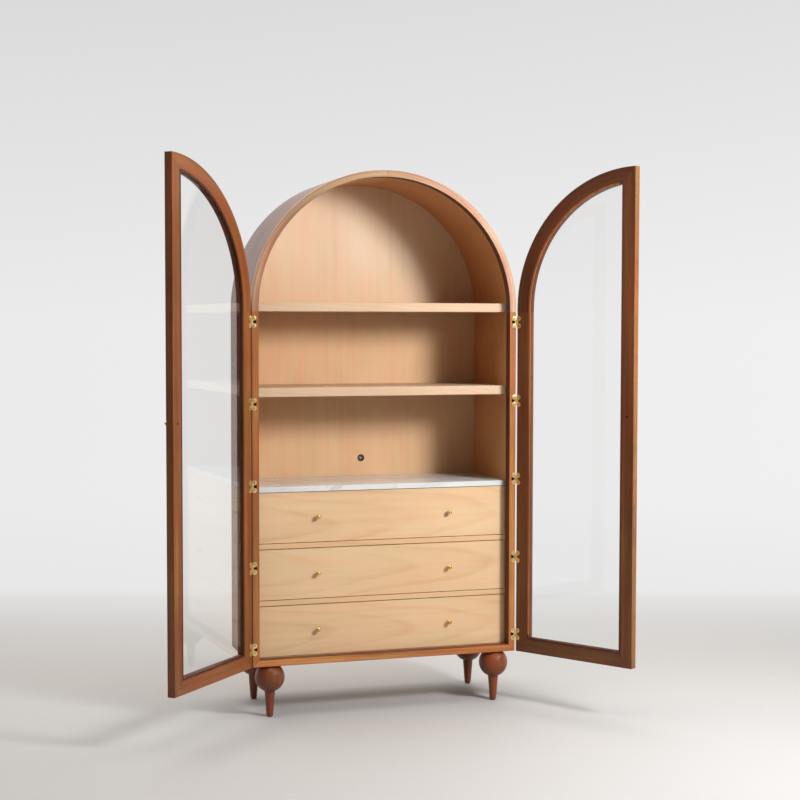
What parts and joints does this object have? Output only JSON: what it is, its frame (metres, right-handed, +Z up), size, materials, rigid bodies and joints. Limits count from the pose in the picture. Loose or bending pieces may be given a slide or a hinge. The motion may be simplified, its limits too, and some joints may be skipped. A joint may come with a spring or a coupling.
{
  "type": "storage cabinet",
  "caption": "Tall arched display cabinet on turned legs, with glazed half-arch doors over shelves, a marble slab and wooden drawers.",
  "frame": {"origin": "on the floor, under the middle of the carcass's front face", "axes": "+X to the cabinet's right as seen from the front, +Y towards its back, +Z up"},
  "size_m": [1.7862, 0.8712, 2.108],
  "materials": {
    "stained_wood": "reddish brown stained wood, satin",
    "light_wood": "light natural wood, matt",
    "marble": "white marble with grey veins, honed",
    "brass": "polished brass",
    "glass": "clear sheet glass",
    "steel": "zinc plated steel",
    "black_plastic": "black moulded plastic"
  },
  "bodies": {
    "carcass": {"left_side_board": "stained_wood", "right_side_board": "stained_wood", "arch_board": "stained_wood", "left_side_lining": "light_wood", "right_side_lining": "light_wood", "arch_lining": "light_wood", "bottom_board": "light_wood", "back_panel": "light_wood", "bottom_front_rail": "stained_wood", "left_front_stile": "stained_wood", "right_front_stile": "stained_wood", "left_front_arch": "stained_wood", "right_front_arch": "stained_wood", "upper_shelf": "light_wood", "middle_shelf": "light_wood", "shelf_pegs": "steel", "marble_slab": "marble", "drawer_deck": "light_wood", "divider_rails": "light_wood", "slide_channels": "steel", "front_left_leg": "stained_wood", "front_right_leg": "stained_wood", "back_left_leg": "stained_wood", "back_right_leg": "stained_wood", "leg_plates": "steel", "leg_glides": "black_plastic", "carcass_hinge_leaves": "brass", "hinge_pins": "brass"},
    "left_door": {"left_door_hinge_stile": "stained_wood", "left_door_arch_rail": "stained_wood", "left_door_meeting_stile": "stained_wood", "left_door_bottom_rail": "stained_wood", "left_door_glass": "glass", "left_door_glazing_beads": "stained_wood", "left_door_knob": "brass", "left_door_hinge_leaves": "brass"},
    "right_door": {"right_door_hinge_stile": "stained_wood", "right_door_arch_rail": "stained_wood", "right_door_meeting_stile": "stained_wood", "right_door_bottom_rail": "stained_wood", "right_door_glass": "glass", "right_door_glazing_beads": "stained_wood", "right_door_knob": "brass", "right_door_hinge_leaves": "brass"},
    "drawer_1": {"drawer_1_front": "light_wood", "drawer_1_box": "light_wood", "drawer_1_runners": "steel", "drawer_1_knobs": "brass"},
    "drawer_2": {"drawer_2_front": "light_wood", "drawer_2_box": "light_wood", "drawer_2_runners": "steel", "drawer_2_knobs": "brass"},
    "drawer_3": {"drawer_3_front": "light_wood", "drawer_3_box": "light_wood", "drawer_3_runners": "steel", "drawer_3_knobs": "brass"}
  },
  "joints": [
    {"name": "left_door_hinge", "type": "hinge", "parent": "carcass", "child": "left_door", "pos_m": [-0.5365, -0.0025, 0], "axis": [0, 0, -1], "range_deg": [-132.2, 42.8]},
    {"name": "right_door_hinge", "type": "hinge", "parent": "carcass", "child": "right_door", "pos_m": [0.5365, -0.0025, 0], "axis": [0, 0, 1], "range_deg": [-123.7, 51.3]},
    {"name": "drawer_1_slide", "type": "slide", "parent": "carcass", "child": "drawer_1", "axis": [0, -1, 0], "range_m": [0, 0.26]},
    {"name": "drawer_2_slide", "type": "slide", "parent": "carcass", "child": "drawer_2", "axis": [0, -1, 0], "range_m": [0, 0.26]},
    {"name": "drawer_3_slide", "type": "slide", "parent": "carcass", "child": "drawer_3", "axis": [0, -1, 0], "range_m": [0, 0.26]}
  ]
}
